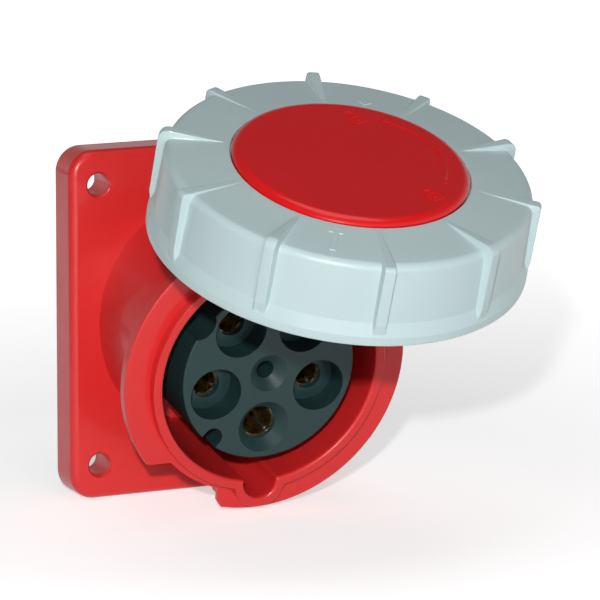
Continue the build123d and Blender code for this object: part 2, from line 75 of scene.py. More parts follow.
def moulded_plastic(name, colour, gloss, peel, mottle=0.05, skin=0.0):
    """Moulded plastic: faint flow marks, uneven gloss, orange peel, fine grain, a smooth skin."""
    material = bpy.data.materials.new(name)
    material.use_nodes = True
    tree = material.node_tree
    shader = tree.nodes["Principled BSDF"]
    shader.inputs["IOR"].default_value = PLASTIC_IOR
    shader.inputs["Coat Weight"].default_value = skin
    shader.inputs["Coat Roughness"].default_value = SKIN_ROUGHNESS
    place = tree.nodes.new("ShaderNodeTexCoord")

    def noise(scale, detail):
        node = tree.nodes.new("ShaderNodeTexNoise")
        node.inputs["Scale"].default_value = scale
        node.inputs["Detail"].default_value = detail
        tree.links.new(place.outputs["Object"], node.inputs["Vector"])
        return node.outputs["Fac"]

    flow = tree.nodes.new("ShaderNodeMix")
    flow.data_type = "RGBA"
    flow.inputs["A"].default_value = (*[value * (1 - mottle) for value in colour], 1)
    flow.inputs["B"].default_value = (*[min(1, value * (1 + mottle)) for value in colour], 1)
    tree.links.new(noise(FLOW_MARKS, 3.0), flow.inputs["Factor"])
    tree.links.new(flow.outputs["Result"], shader.inputs["Base Color"])

    sheen = tree.nodes.new("ShaderNodeMapRange")
    sheen.inputs["To Min"].default_value = gloss * (1 - SHEEN_SPREAD)
    sheen.inputs["To Max"].default_value = gloss * (1 + SHEEN_SPREAD)
    tree.links.new(noise(SHEEN_PATCHES, 4.0), sheen.inputs["Value"])
    tree.links.new(sheen.outputs["Result"], shader.inputs["Roughness"])

    soft = tree.nodes.new("ShaderNodeBump")
    soft.inputs["Strength"].default_value = peel
    soft.inputs["Distance"].default_value = PEEL_DEPTH
    tree.links.new(noise(PEEL_CELLS, 1.0), soft.inputs["Height"])
    fine = tree.nodes.new("ShaderNodeBump")
    fine.inputs["Strength"].default_value = peel * GRAIN_SHARE
    fine.inputs["Distance"].default_value = GRAIN_DEPTH
    tree.links.new(noise(TOOL_GRAIN, 2.0), fine.inputs["Height"])
    tree.links.new(soft.outputs["Normal"], fine.inputs["Normal"])
    tree.links.new(fine.outputs["Normal"], shader.inputs["Normal"])
    return material


red_plastic = moulded_plastic("red_plastic", HOUSING_RED, SATIN_GLOSS, 0.25, skin=0.2)

WELD = 0.001 * MM
CREASE = 32
HOUSING_CREASE = 18


def join(parts, place):
    """A mesh of closed bodies, each a list of points and a list of faces, set in its place."""
    shape = bmesh.new()
    for points, faces in parts:
        corners = [shape.verts.new(place @ Vector(point)) for point in points]
        for face in faces:
            shape.faces.new([corners[index] for index in face])
    bmesh.ops.remove_doubles(shape, verts=shape.verts, dist=WELD)
    bmesh.ops.recalc_face_normals(shape, faces=shape.faces)
    return shape


def build(name, shape, material, crease=CREASE):
    """A piece made of a mesh, smooth but for the edges that turn more than the crease angle."""
    data = bpy.data.meshes.new(name)
    shape.to_mesh(data)
    shape.free()
    data.polygons.foreach_set("use_smooth", [True] * len(data.polygons))
    data.set_sharp_from_angle(angle=radians(crease))
    piece = bpy.data.objects.new(name, data)
    bpy.context.scene.collection.objects.link(piece)
    data.materials.append(material)
    flat = piece.modifiers.new("flat_faces_stay_flat", "WEIGHTED_NORMAL")
    flat.keep_sharp = True
    return piece


TILT = 12.4
PLATE_DEPTH = 12.8
BORE_RADIUS = 36.0
BORE_STEPS = 90
LIP_WALL = 3.1
LIP_ROUND = 1.1
LIP_STEPS = 6
LIP_EDGE = 0.25
LIP_SINK = 0.5
RIM_FRONT = 47.3
FLANGE_FRONT = 43.6
KEYWAY_HALF = 5.4
KEYWAY_REACH = 6.0
KEYWAY_ROUND = 5.2
KEYWAY_STEPS = 12
KEYWAY_CORNER = 1.2
CORNER_STEPS = 6
LINER_FOOT = 5.0
LINER_WALL = 1.4
LINER_BED = 1.2

# The wedge that the flange lacks at its thin end: its section (across, height) and how far below
# the socket's axis it begins and ends.
THIN_END = ((-13.6, 42.85), (-8.95, 39.35), (-13.6, 39.0))
THIN_END_REACH = (-41.2, -52.0)

tilt = radians(TILT)
socket_place = Matrix(((1, 0, 0), (0, -sin(tilt), -cos(tilt)), (0, cos(tilt), -sin(tilt)))).to_4x4()
socket_place = Matrix.Translation((0, -PLATE_DEPTH * MM, 0)) @ socket_place @ Matrix.Scale(MM, 4)


def arc(middle, radius, first, last, steps, inward=False):
    """Points on an arc, each with the direction into the wall beside it."""
    line = []
    for step in range(steps + 1):
        angle = first + (last - first) * step / steps
        out = Vector((cos(angle), sin(angle)))
        line.append((Vector(middle) + out * radius, -out if inward else out))
    return line


def bore_line():
    """The bore's outline with its keyway below, each point with the direction into the wall."""
    nose = Vector((KEYWAY_HALF + KEYWAY_CORNER, 0))
    nose.y = -sqrt((BORE_RADIUS + KEYWAY_CORNER) ** 2 - nose.x**2)
    meet = atan2(nose.y, nose.x)
    half = arc((0, 0), BORE_RADIUS, pi / 2, meet, BORE_STEPS)
    half += arc(nose, KEYWAY_CORNER, meet + pi, pi, CORNER_STEPS, inward=True)
    bottom = (KEYWAY_HALF - KEYWAY_ROUND, -BORE_RADIUS - KEYWAY_REACH + KEYWAY_ROUND)
    half += arc(bottom, KEYWAY_ROUND, 0, -pi / 2, KEYWAY_STEPS)
    other = [(Vector((-point.x, point.y)), Vector((-into.x, into.y))) for point, into in half[1:]]
    return half + other[::-1]


def into_wall(point, into, depth):
    """A point so deep in the wall, kept out of the corner where keyway and collar meet."""
    corner_x = KEYWAY_HALF + depth
    corner_y = -sqrt((BORE_RADIUS + depth) ** 2 - corner_x**2)
    deep = point + into * depth
    if point.length < BORE_RADIUS + 0.001:
        past_corner = abs(deep.x) < corner_x and deep.y < 0
    else:
        past_corner = abs(point.x) > KEYWAY_HALF or deep.y > corner_y
    if past_corner:
        return Vector((corner_x if point.x > 0 else -corner_x, corner_y))
    return deep


def net(columns):
    """A closed body on columns of points, each joined to the next and the last to the first."""
    count = len(columns[0])
    faces = []
    for index in range(len(columns)):
        here, there = index * count, (index + 1) % len(columns) * count
        for row in range(count):
            below = (row + 1) % count
            faces.append((here + row, here + below, there + below, there + row))
    return [point for column in columns for point in column], faces


def round_bore(section):
    """A closed body: a section of (depth in the wall, height) points carried round the bore."""
    columns = []
    for point, into in bore_line():
        column = []
        for depth, height in section:
            deep = into_wall(point, into, depth) if depth > LIP_ROUND else point + into * depth
            column.append((deep.x, deep.y, height))
        columns.append(column)
    return net(columns)


def filled(outline, low, high):
    """A closed body between two heights inside an outline."""
    count = len(outline)
    points = [(x, y, level) for level in (low, high) for x, y in outline]
    faces = [tuple(range(count)), tuple(range(count, 2 * count))]
    for index in range(count):
        after = (index + 1) % count
        faces.append((index, after, count + after, count + index))
    return points, faces


def cut(name, shape, bodies):
    """A mesh less some bodies."""
    piece = build(name, shape, red_plastic)
    tools = []
    for body in bodies:
        tool = build("tool", body, red_plastic)
        change = piece.modifiers.new("cut", "BOOLEAN")
        change.object = tool
        tools.append(tool)
    evaluated = piece.evaluated_get(bpy.context.evaluated_depsgraph_get())
    left = bpy.data.meshes.new_from_object(evaluated)
    for item in (*tools, piece):
        bpy.data.objects.remove(item)
    shape = bmesh.new()
    shape.from_mesh(left)
    return shape


# The moulding of the frame, cleared in front of its flange and round the bore, and thinned at the
# flange's end. The collar's lip and the bore's liner are then set in.
CLEAR_RADIUS = 50.0
CLEAR_STEPS = 96
last_step = CLEAR_STEPS - 1
moulding = bmesh.new()
moulding.from_mesh(frame["nodes"]["housing"].data)
moulding.transform(frame["nodes"]["housing"].matrix_world)
bmesh.ops.remove_doubles(moulding, verts=moulding.verts, dist=2 * WELD)
clearing = arc((0, 0), CLEAR_RADIUS, 0, 2 * pi * last_step / CLEAR_STEPS, last_step)
liner_bed = [into_wall(point, into, LINER_BED) for point, into in bore_line()]
wedge = [(x, reach, height) for reach in THIN_END_REACH for x, height in THIN_END]
wedge_faces = [(0, 1, 2), (3, 4, 5), (0, 1, 4, 3), (1, 2, 5, 4), (2, 0, 3, 5)]
bodies = [
    filled([point for point, into in clearing], FLANGE_FRONT + 0.02, RIM_FRONT + 2),
    filled(liner_bed, LINER_FOOT, RIM_FRONT + 1),
    (wedge, wedge_faces),
]
moulding = cut("moulding", moulding, [join([body], socket_place) for body in bodies])

lip = [(0, LINER_FOOT), (0, RIM_FRONT - LIP_ROUND)]
for step in range(1, LIP_STEPS):
    turn = pi / 2 * step / LIP_STEPS
    lip.append((LIP_ROUND * (1 - cos(turn)), RIM_FRONT - LIP_ROUND * (1 - sin(turn))))
lip += [
    (LIP_ROUND, RIM_FRONT),
    (LIP_WALL - LIP_EDGE, RIM_FRONT),
    (LIP_WALL, RIM_FRONT - LIP_EDGE),
    (LIP_WALL, FLANGE_FRONT - LIP_SINK),
    (LINER_WALL, FLANGE_FRONT - LIP_SINK),
    (LINER_WALL, LINER_FOOT),
]
collar = join([round_bore(lip)], socket_place)
collar_mesh = bpy.data.meshes.new("collar")
collar.to_mesh(collar_mesh)
collar.free()
moulding.from_mesh(collar_mesh)
red_housing = build("red_housing", moulding, red_plastic, crease=HOUSING_CREASE)
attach(red_housing, "socket")
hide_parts("housing")

# The contact carrier and its rear half: dark slate glass-filled plastic, a little duller than
# the housing. The front half is held behind the housing's floor by three screws.
CARRIER_SLATE = (0.008, 0.033, 0.034)


def dress(node, material):
    """Gives a piece of the frame its finish."""
    piece = frame["nodes"][node]
    piece.data.materials.clear()
    piece.data.materials.append(material)


slate_plastic = moulded_plastic("slate_plastic", CARRIER_SLATE, 0.5, 0.3, mottle=0.12, skin=0.04)
for node in ("contact_carrier", "terminal_carrier"):
    dress(node, slate_plastic)

# The sleeve contacts are turned from brass bar, and their spring rings, the screws and the hinge
# pin are steel, with the fine lines and dulled patches that machining and plating leave.
BRASS = (0.80, 0.62, 0.30)
STEEL = (0.62, 0.62, 0.61)
TURNED_LINES = 2500.0
LINE_DEPTH = 0.01 * MM
DULL_PATCHES = 260.0
DULL_TINT = 0.86
DULL_SPREAD = 0.3


def turned_metal(name, colour, rough):
    """Machined metal: the tool's fine lines, and patches that have dulled."""
    material = bpy.data.materials.new(name)
    material.use_nodes = True
    tree = material.node_tree
    shader = tree.nodes["Principled BSDF"]
    shader.inputs["Metallic"].default_value = 1.0
    place = tree.nodes.new("ShaderNodeTexCoord")
    lines = tree.nodes.new("ShaderNodeTexNoise")
    lines.inputs["Scale"].default_value = TURNED_LINES
    lines.inputs["Detail"].default_value = 2.0
    tree.links.new(place.outputs["Object"], lines.inputs["Vector"])
    dull = tree.nodes.new("ShaderNodeTexNoise")
    dull.inputs["Scale"].default_value = DULL_PATCHES
    dull.inputs["Detail"].default_value = 4.0
    tree.links.new(place.outputs["Object"], dull.inputs["Vector"])
    tint = tree.nodes.new("ShaderNodeMix")
    tint.data_type = "RGBA"
    tint.inputs["A"].default_value = (*[value * DULL_TINT for value in colour], 1)
    tint.inputs["B"].default_value = (*colour, 1)
    tree.links.new(dull.outputs["Fac"], tint.inputs["Factor"])
    tree.links.new(tint.outputs["Result"], shader.inputs["Base Color"])
    patch = tree.nodes.new("ShaderNodeMapRange")
    patch.inputs["To Min"].default_value = rough * (1 - DULL_SPREAD)
    patch.inputs["To Max"].default_value = rough * (1 + DULL_SPREAD)
    tree.links.new(dull.outputs["Fac"], patch.inputs["Value"])
    tree.links.new(patch.outputs["Result"], shader.inputs["Roughness"])
    bump = tree.nodes.new("ShaderNodeBump")
    bump.inputs["Strength"].default_value = 0.2
    bump.inputs["Distance"].default_value = LINE_DEPTH
    tree.links.new(lines.outputs["Fac"], bump.inputs["Height"])
    tree.links.new(bump.outputs["Normal"], shader.inputs["Normal"])
    return material


brass = turned_metal("turned_brass", BRASS, 0.27)
steel = turned_metal("bright_steel", STEEL, 0.3)
for node in frame["nodes"]:
    if "sleeve" in node:
        dress(node, brass)
    if "spring_ring" in node or node.endswith("_screws") or node == "hinge_pin":
        dress(node, steel)

# The gaskets of the panel, the carrier and the lid: black moulded rubber, dull and slightly dusty.
# Each lies in a groove or on a seat of the plastic piece that it seals.
RUBBER = (0.022, 0.022, 0.023)
rubber = moulded_plastic("black_rubber", RUBBER, 0.62, 0.4, mottle=0.15)
for node in ("panel_gasket", "carrier_seal", "lid_gasket"):
    dress(node, rubber)

# The lid: an inner plate with the hinge arm, in the housing's red, and a glossier red disc
# screwed on it, whose round neck carries the locking ring. The disc's edge is softly domed.
DISC_RED = (0.66, 0.008, 0.010)
DISC_RADIUS = 35.9
DISC_FLAT = 32.8
DISC_MIDDLE = 15.0
DISC_RISE = 1.7
DISC_EDGE = 1.5
DISC_SHOULDER = 0.2
DOME_STEPS = 12
NECK_RADIUS = 31.7
NECK_BORE = 28.7
NECK_DEPTH = 11.0
TURN_STEPS = 144

disc_plastic = moulded_plastic("disc_plastic", DISC_RED, 0.22, 0.2, skin=0.35)
dress("lid_plate", red_plastic)

ring_joint = next(joint for joint in frame["joints"] if joint["name"] == "ring_turn")
outward = -Vector(ring_joint["axis"]).normalized()
sideways = Vector((1, 0, 0))
lid_place = Matrix((sideways, outward.cross(sideways), outward)).transposed().to_4x4()
lid_place = Matrix.Translation(Vector(ring_joint["pos_m"])) @ lid_place @ Matrix.Scale(MM, 4)


def rounded_path(corners):
    """Points on a line of corners (radius, height, rounding, steps before it, steps round it)."""
    points = [Vector(corners[0][:2])]
    for index in range(1, len(corners)):
        here = Vector(corners[index][:2])
        rounding, run_steps, arc_steps = corners[index][2:]
        bend = [here]
        if rounding:
            into = (here - Vector(corners[index - 1][:2])).normalized()
            out = (Vector(corners[index + 1][:2]) - here).normalized()
            half = into.angle(out) / 2
            start = here - into * rounding * tan(half)
            centre = here + (out - into).normalized() * rounding / cos(half)
            sweep = into.angle_signed(out)
            bend = []
            for step in range(arc_steps + 1):
                turn = Matrix.Rotation(-sweep * step / arc_steps, 2)
                bend.append(centre + turn @ (start - centre))
        last = points[-1]
        points += [last.lerp(bend[0], step / run_steps) for step in range(1, run_steps)]
        points += bend
    return points


def turned(path, steps):
    """A closed path that begins and ends on the axis, turned round it."""
    points, faces = [(0, 0, path[0].y), (0, 0, path[-1].y)], []
    inner = path[1:-1]
    for step in range(steps):
        angle = 2 * pi * step / steps
        points += [(p.x * cos(angle), p.x * sin(angle), p.y) for p in inner]
    count = len(inner)
    for step in range(steps):
        here, there = 2 + step * count, 2 + (step + 1) % steps * count
        faces.append((0, here, there))
        faces.append((1, there + count - 1, here + count - 1))
        faces += [(here + i, here + i + 1, there + i + 1, there + i) for i in range(count - 1)]
    return points, faces


sag = ((DISC_RADIUS - DISC_FLAT) ** 2 + DISC_RISE**2) / (2 * DISC_RISE)
dome = []
for step in range(1, DOME_STEPS + 1):
    out = (DISC_RADIUS - DISC_FLAT) * step / DOME_STEPS
    dome.append(Vector((DISC_FLAT + out, DISC_RISE - sag + sqrt(sag**2 - out**2))))
disc_path = [Vector((radius, DISC_RISE)) for radius in (0, DISC_MIDDLE, DISC_FLAT)] + dome
disc_path += rounded_path(
    [
        (DISC_RADIUS, -DISC_SHOULDER),
        (DISC_RADIUS, -DISC_EDGE, 0.3, 1, 2),
        (NECK_RADIUS, -DISC_EDGE, 0, 1, 0),
        (NECK_RADIUS, -NECK_DEPTH, 0, 1, 0),
        (NECK_BORE, -NECK_DEPTH, 0, 1, 0),
        (NECK_BORE, -DISC_EDGE, 0, 1, 0),
        (0, -DISC_EDGE, 0, 2, 0),
    ]
)

# The disc's raised signs: an open and a closed padlock, and the arc with an arrow head that leads
# from one to the other.
MARK_HEIGHT = 0.28
MARK_EDGE = 0.09
SHARPEST_MITRE = 0.4
LINE_WIDTH = 0.42
PADLOCK_TURN = 22.0
OPEN_PADLOCK = (26.4, 65.5)
CLOSED_PADLOCK = (27.4, -55.5)
PADLOCK_LIFT = 0.9
PADLOCK_WIDTH = 4.4
PADLOCK_HEIGHT = 3.6
SHACKLE_RADIUS = 1.35
SHACKLE_LEG = 1.3
KEYHOLE_RADIUS = 0.5
ARC_RADIUS = 28.4
ARC_ENDS = (47.0, -34.0)
ARC_STEPS = 36
ARROW_LENGTH = 3.0
ARROW_WIDTH = 2.6


def raised_mark(outline, level):
    """A mark that stands up from a surface, whose height level gives, its top drawn in a little."""
    count = len(outline)
    area = sum(a[0] * b[1] - b[0] * a[1] for a, b in zip(outline, outline[1:] + outline[:1]))
    inward = 1 if area > 0 else -1
    drawn = []
    for index, point in enumerate(outline):
        before, after = Vector(outline[index - 1]), Vector(outline[(index + 1) % count])
        here = Vector(point)
        into, out = (here - before).normalized(), (after - here).normalized()
        side_before = Vector((-into.y, into.x)) * inward
        side_after = Vector((-out.y, out.x)) * inward
        mitre = side_before + side_after
        drawn.append(here + mitre * MARK_EDGE / max(SHARPEST_MITRE, mitre.dot(side_after)))
    points = [(x, y, level(x, y) - MARK_HEIGHT) for x, y in outline]
    points += [(x, y, level(x, y) + MARK_HEIGHT - MARK_EDGE) for x, y in outline]
    points += [(x, y, level(x, y) + MARK_HEIGHT) for x, y in drawn]
    faces = [tuple(range(count)), tuple(range(2 * count, 3 * count))]
    for index in range(count):
        after = (index + 1) % count
        for row in (0, count):
            faces.append((row + index, row + after, row + count + after, row + count + index))
    return points, faces


def ridge(line, width):
    """The outline of a ridge of a width along a line of points."""
    left, right = [], []
    for index, point in enumerate(line):
        before = Vector(line[max(0, index - 1)])
        after = Vector(line[min(len(line) - 1, index + 1)])
        along = (after - before).normalized()
        side = Vector((-along.y, along.x)) * width / 2
        left.append(tuple(Vector(point) + side))
        right.append(tuple(Vector(point) - side))
    return left + right[::-1]


def on_disc(radius, angle):
    """The point at a radius and an angle from the disc's middle."""
    return radius * cos(radians(angle)), radius * sin(radians(angle))


def padlock(radius, angle, lift):
    """A padlock sign: body, keyhole and a shackle, which is lifted out on one side when open."""
    place = Matrix.Translation((*on_disc(radius, angle), 0))
    place = place @ Matrix.Rotation(radians(PADLOCK_TURN), 4, "Z")
    w, h = PADLOCK_WIDTH / 2, PADLOCK_HEIGHT
    lines = [[(-w, -h), (w, -h)], [(-w, 0), (w, 0)], [(-w, -h), (-w, 0)], [(w, -h), (w, 0)]]
    shackle = [(SHACKLE_RADIUS, 0)]
    for step in range(9):
        x, y = on_disc(SHACKLE_RADIUS, 180 * step / 8)
        shackle.append((x, SHACKLE_LEG + y))
    if lift == 0:
        shackle.append((-SHACKLE_RADIUS, 0))
    shackle = [(x, y + lift) for x, y in shackle]
    keyhole = [on_disc(KEYHOLE_RADIUS, 36 * step) for step in range(10)]
    outlines = [ridge(line, LINE_WIDTH) for line in lines + [shackle]]
    outlines.append([(x, y - h / 2) for x, y in keyhole])
    return [[tuple((place @ Vector((x, y, 0)))[:2]) for x, y in outline] for outline in outlines]


def disc_level(x, y):
    """The height of the disc's face, which is flat under the signs."""
    return DISC_RISE


first, last = ARC_ENDS
arc_angles = [first + (last - first) * step / ARC_STEPS for step in range(ARC_STEPS + 1)]
arc_line = [on_disc(ARC_RADIUS, angle) for angle in arc_angles]
arrow_head = [on_disc(ARC_RADIUS + side * ARROW_WIDTH / 2, last) for side in (-1, 1)]
arrow_head.append(on_disc(ARC_RADIUS, last - degrees(ARROW_LENGTH / ARC_RADIUS)))
signs = [ridge(arc_line, LINE_WIDTH), arrow_head]
signs += padlock(*OPEN_PADLOCK, PADLOCK_LIFT) + padlock(*CLOSED_PADLOCK, 0.0)
disc_parts = [turned(disc_path, TURN_STEPS)]
disc_parts += [raised_mark(outline, disc_level) for outline in signs]
lid_cap = build("lid_cap", join(disc_parts, lid_place), disc_plastic)
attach(lid_cap, "lid")
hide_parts("lid_disc")

# The locking ring: a grey nylon ring that turns on the disc's neck and pulls the lid down on the
# collar. It is one moulding, with ten grip ribs, every other one standing taller at the shoulder,
# a flared foot, and two lugs inside the foot that turn in behind the collar's flange.
RING_GREY = (0.475, 0.595, 0.605)
RECESS_RADIUS = 36.2
RECESS_DEPTH = 1.7
TOP_SINK = 0.2
TOP_FALL = 1.6
SHOULDER_RADIUS = 55.2
WALL_FOOT_RADIUS = 56.0
FLARE_TOP = 20.5
FLARE_RADIUS = 57.6
FLARE_EDGE = 24.6
RING_HEIGHT = 27.5
RING_WALL = 2.6
INNER_TAPER = 1.6
TOP_WALL = 3.0
HUB_RADIUS = 31.78
HUB_WALL = 2.8
HUB_FOOT = 10.7
grey_plastic = moulded_plastic("grey_plastic", RING_GREY, 0.38, 0.3, mottle=0.03, skin=0.15)
inner_wall = FLARE_RADIUS - INNER_TAPER - RING_WALL


def top_level(radius):
    """The height of the ring's top, which falls outwards."""
    return -TOP_SINK - TOP_FALL * (radius - RECESS_RADIUS) / (SHOULDER_RADIUS - RECESS_RADIUS)


def foot_radius(height):
    """The outside of the flare at a height between the wall's foot and the flare's edge."""
    share = (-height - FLARE_TOP) / (FLARE_EDGE - FLARE_TOP)
    return WALL_FOOT_RADIUS + (FLARE_RADIUS - WALL_FOOT_RADIUS) * share


# The ribs. A row of RIB_FLANK is a line down a rib's side: its share of the rib's half width and
# of the crown's, what is added to them, and how high it stands between the panel and the crest.
RIB_COUNT = 10
FIRST_RIB_ANGLE = 78.5
RIB_START = 38.2
RIB_PROUD = 2.6
RIB_FOOT_PROUD = 1.8
RIB_FOOT = 23.6
RIB_HALF_WIDTHS = (0.8, 2.1)
RIB_CROWN = 0.81
RIB_FLANK = (
    (1.0, 0.0, 0.34, 0.0),
    (1.0, 0.0, 0.1, 0.03),
    (1.0, 0.0, -0.06, 0.16),
    (0.5, 0.5, 0.0, 0.5),
    (0.12, 0.88, 0.04, 0.86),
    (0.0, 1.0, -0.06, 0.97),
    (0.0, 0.7, 0.0, 1.0),
)
RIB_MIDDLE = (0.0, 0.0, 0.0, 1.0)
TALL_RIB = (0.5, 3.0)
SHORT_RIB = (-1.3, 1.5)
PANEL_STEPS = 18
ring_top = [
    (RECESS_RADIUS, -RECESS_DEPTH),
    (RECESS_RADIUS, -TOP_SINK, 0.4, 2, 3),
    (RIB_START, top_level(RIB_START), 0, 1, 0),
]
rib_foot = (foot_radius(-RIB_FOOT), -RIB_FOOT, 0, 3, 0)
ring_inside = [
    (FLARE_RADIUS, -FLARE_EDGE, 0.9, 2, 3),
    (FLARE_RADIUS, -RING_HEIGHT, 0.5, 2, 3),
    (inner_wall, -RING_HEIGHT, 0.3, 2, 2),
    (SHOULDER_RADIUS - RING_WALL, -TOP_SINK - TOP_FALL - TOP_WALL, 2.0, 6, 4),
    (HUB_RADIUS + HUB_WALL, -RECESS_DEPTH - TOP_WALL, 0.8, 4, 3),
    (HUB_RADIUS + HUB_WALL, -HUB_FOOT, 0.3, 2, 2),
    (HUB_RADIUS, -HUB_FOOT, 0.3, 1, 2),
    (HUB_RADIUS, -RECESS_DEPTH, 0, 3, 0),
]


def ring_section(shoulder, wall_foot):
    """The ring's section: its top, a shoulder and a wall's foot (corners), and its inside."""
    return rounded_path(ring_top + [shoulder, wall_foot, rib_foot] + ring_inside)


def rib_section(rise, corner):
    """The section through the crest of a rib, with as many points as the panels' has."""
    return ring_section(
        (SHOULDER_RADIUS + RIB_PROUD, rise, corner, 10, 8),
        (WALL_FOOT_RADIUS + RIB_FOOT_PROUD, -FLARE_TOP, 0.6, 8, 4),
    )


panel_section = ring_section(
    (SHOULDER_RADIUS, top_level(SHOULDER_RADIUS), 2.5, 10, 8),
    (WALL_FOOT_RADIUS, -FLARE_TOP, 1.5, 8, 4),
)


def flank_point(panel, crest, angle, side, row):
    """A point on a rib between its panel and its crest; a rib is narrower where it starts."""
    half_share, crown_share, more, height = row
    share = min(1, max(0, (panel.x - RIB_START) / (SHOULDER_RADIUS - RIB_START)))
    half = RIB_HALF_WIDTHS[0] + (RIB_HALF_WIDTHS[1] - RIB_HALF_WIDTHS[0]) * share
    out = half_share * half + crown_share * RIB_CROWN * half + more
    radius = panel.x + (crest.x - panel.x) * height
    level = panel.y + (crest.y - panel.y) * height
    turn = angle - side * asin(out / radius)
    return radius * cos(turn), radius * sin(turn), level


def rib_columns(crest_section, angle):
    """The columns of points across a rib, from one foot over its crest to the other."""
    rows = [(-1, row) for row in RIB_FLANK] + [(1, RIB_MIDDLE)]
    rows += [(1, row) for row in RIB_FLANK[::-1]]
    pairs = list(zip(panel_section, crest_section))
    return [[flank_point(*pair, angle, side, row) for pair in pairs] for side, row in rows]


def panel_columns(edge, next_edge):
    """The columns of points on the panel between a rib's foot and the next rib's."""
    columns = []
    for step in range(1, PANEL_STEPS):
        column = []
        for here, there, panel in zip(edge, next_edge, panel_section):
            begin, finish = atan2(here[1], here[0]), atan2(there[1], there[0])
            if finish > begin:
                finish -= 2 * pi
            turn = begin + (finish - begin) * step / PANEL_STEPS
            column.append((panel.x * cos(turn), panel.x * sin(turn), panel.y))
        columns.append(column)
    return columns


def ring_body():
    """The ring without its lugs: ribs, tall and short in turn, with the panels between them."""
    crests = [rib_section(*TALL_RIB), rib_section(*SHORT_RIB)]
    ribs = []
    for index in range(RIB_COUNT):
        angle = radians(FIRST_RIB_ANGLE - index * 360 / RIB_COUNT)
        ribs.append(rib_columns(crests[index % 2], angle))
    columns = []
    for rib, next_rib in zip(ribs, ribs[1:] + ribs[:1]):
        columns += rib + panel_columns(rib[-1], next_rib[0])
    return net(columns)


LUG_ANGLE = 57.0
LUG_SPAN = 23.0
LUG_REACH = 43.7
LUG_ROOT = 0.6
LUG_THICKNESS = 3.0
LUG_LEAD = 0.8
LUG_LIFT = 0.04
LUG_STEPS = 12


def lug(middle):
    """A lug inside the foot, with its top edges led in at both ends."""
    points, faces = [], []
    outer = inner_wall + LUG_ROOT
    for step in range(LUG_STEPS + 1):
        angle = radians(middle + LUG_SPAN * (step / LUG_STEPS - 0.5))
        lead = LUG_LEAD if step in (0, LUG_STEPS) else 0.0
        low, high = -RING_HEIGHT + LUG_LIFT, -RING_HEIGHT + LUG_THICKNESS - lead
        for radius, level in ((LUG_REACH, low), (outer, low), (outer, high), (LUG_REACH, high)):
            points.append((radius * cos(angle), radius * sin(angle), level))
    for step in range(LUG_STEPS):
        for i in range(4):
            j = (i + 1) % 4
            faces.append((4 * step + i, 4 * step + j, 4 * step + 4 + j, 4 * step + 4 + i))
    faces += [(0, 1, 2, 3), tuple(4 * LUG_STEPS + i for i in range(4))]
    return points, faces


ARROW_ANGLES = (60.5, -119.5)
ARROW_TIP = 39.2
ARROW_BACK = 41.4
ARROW_TAIL = 50.2
ARROW_HALF = 2.1
SHAFT_HALF = 0.9


def ring_arrow(angle):
    """The outline of a raised arrow on the ring's top that points in at the disc."""
    outline = [
        (ARROW_TIP, 0),
        (ARROW_BACK, -ARROW_HALF),
        (ARROW_BACK, -SHAFT_HALF),
        (ARROW_TAIL, -SHAFT_HALF),
        (ARROW_TAIL, SHAFT_HALF),
        (ARROW_BACK, SHAFT_HALF),
        (ARROW_BACK, ARROW_HALF),
    ]
    c, s = cos(radians(angle)), sin(radians(angle))
    return [(x * c - y * s, x * s + y * c) for x, y in outline]


def ring_level(x, y):
    """The height of the ring's top under an arrow."""
    return top_level(hypot(x, y))


ring_parts = [ring_body(), lug(LUG_ANGLE), lug(LUG_ANGLE + 180)]
ring_parts += [raised_mark(ring_arrow(angle), ring_level) for angle in ARROW_ANGLES]
grip_ring = build("grip_ring", join(ring_parts, lid_place), grey_plastic)
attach(grip_ring, "ring")
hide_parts("locking_ring")

# The studio floor: white paper that the plate's lower edge stands just over. It runs out into a
# white backdrop and keeps the socket's soft shadow; beyond the paper's edge the room is dark.
FLOOR_SIZE = 6.0
FLOOR_GAP = 0.5 * MM
FLOOR_WHITE = 0.9
FLOOR_GLOW_NEAR = 0.56
FLOOR_GLOW_FAR = 1.0
FLOOR_NEAR = 0.12
FLOOR_FAR = 0.55
PAPER_EDGE = -0.24
PAPER_END = -0.34
BEYOND_PAPER = 0.1
lowest = cad_box[0][2]
bpy.ops.mesh.primitive_plane_add(size=FLOOR_SIZE, location=(0, 0, lowest - FLOOR_GAP))
floor = bpy.context.object
floor.name = "floor"


def seen_directly(tree, *kinds):
    """One for the kinds of ray named, such as those from the camera, and nought for the rest."""
    path = tree.nodes.new("ShaderNodeLightPath")
    seen = path.outputs[kinds[0]]
    for kind in kinds[1:]:
        either = tree.nodes.new("ShaderNodeMath")
        either.operation = "MAXIMUM"
        tree.links.new(seen, either.inputs[0])
        tree.links.new(path.outputs[kind], either.inputs[1])
        seen = either.outputs["Value"]
    return seen


def product(tree, first, second):
    """Two values multiplied."""
    node = tree.nodes.new("ShaderNodeMath")
    node.operation = "MULTIPLY"
    tree.links.new(first, node.inputs[0])
    tree.links.new(second, node.inputs[1])
    return node.outputs["Value"]


def ramp(tree, value, ends, results):
    """A value between two ends turned into one between two results."""
    node = tree.nodes.new("ShaderNodeMapRange")
    node.inputs["From Min"].default_value, node.inputs["From Max"].default_value = ends
    node.inputs["To Min"].default_value, node.inputs["To Max"].default_value = results
    tree.links.new(value, node.inputs["Value"])
    return node.outputs["Result"]


